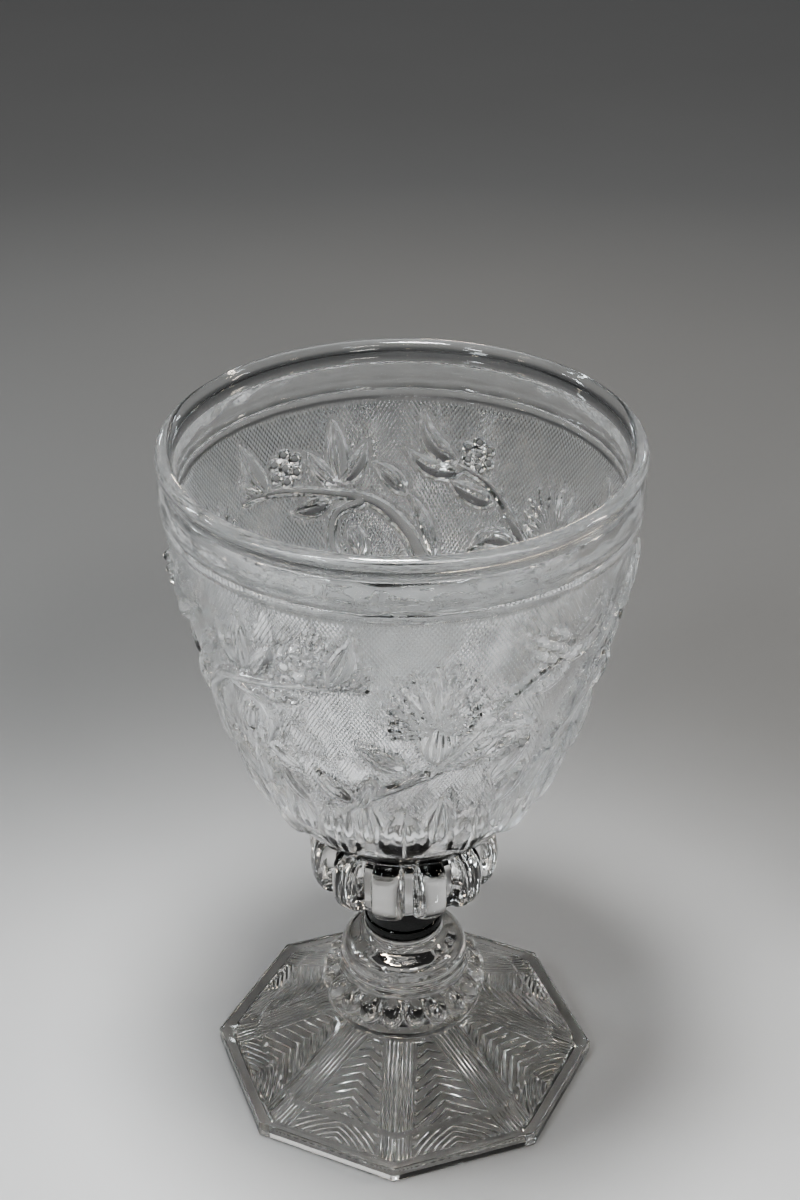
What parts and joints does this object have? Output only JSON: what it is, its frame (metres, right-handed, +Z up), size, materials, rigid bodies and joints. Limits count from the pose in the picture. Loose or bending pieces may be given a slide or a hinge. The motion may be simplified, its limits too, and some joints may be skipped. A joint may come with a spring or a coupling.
{
  "type": "drinking glass",
  "caption": "Stemmed pressed crystal drinking glass: footed goblet with ornamented bowl, lobed knop, beaded bell and octagonal foot.",
  "frame": {"origin": "on the table under the middle of the foot", "axes": "+Z up along the axis of the glass; one corner of the octagonal foot points along -Y"},
  "size_m": [0.0918, 0.0918, 0.15],
  "materials": {
    "crystal": "clear colourless glass, pressed, with a smooth bright surface"
  },
  "bodies": {
    "root": {"bowl": "crystal", "bowl_wafer": "crystal", "knop": "crystal", "stem_wafer": "crystal", "foot": "crystal"}
  },
  "joints": []
}
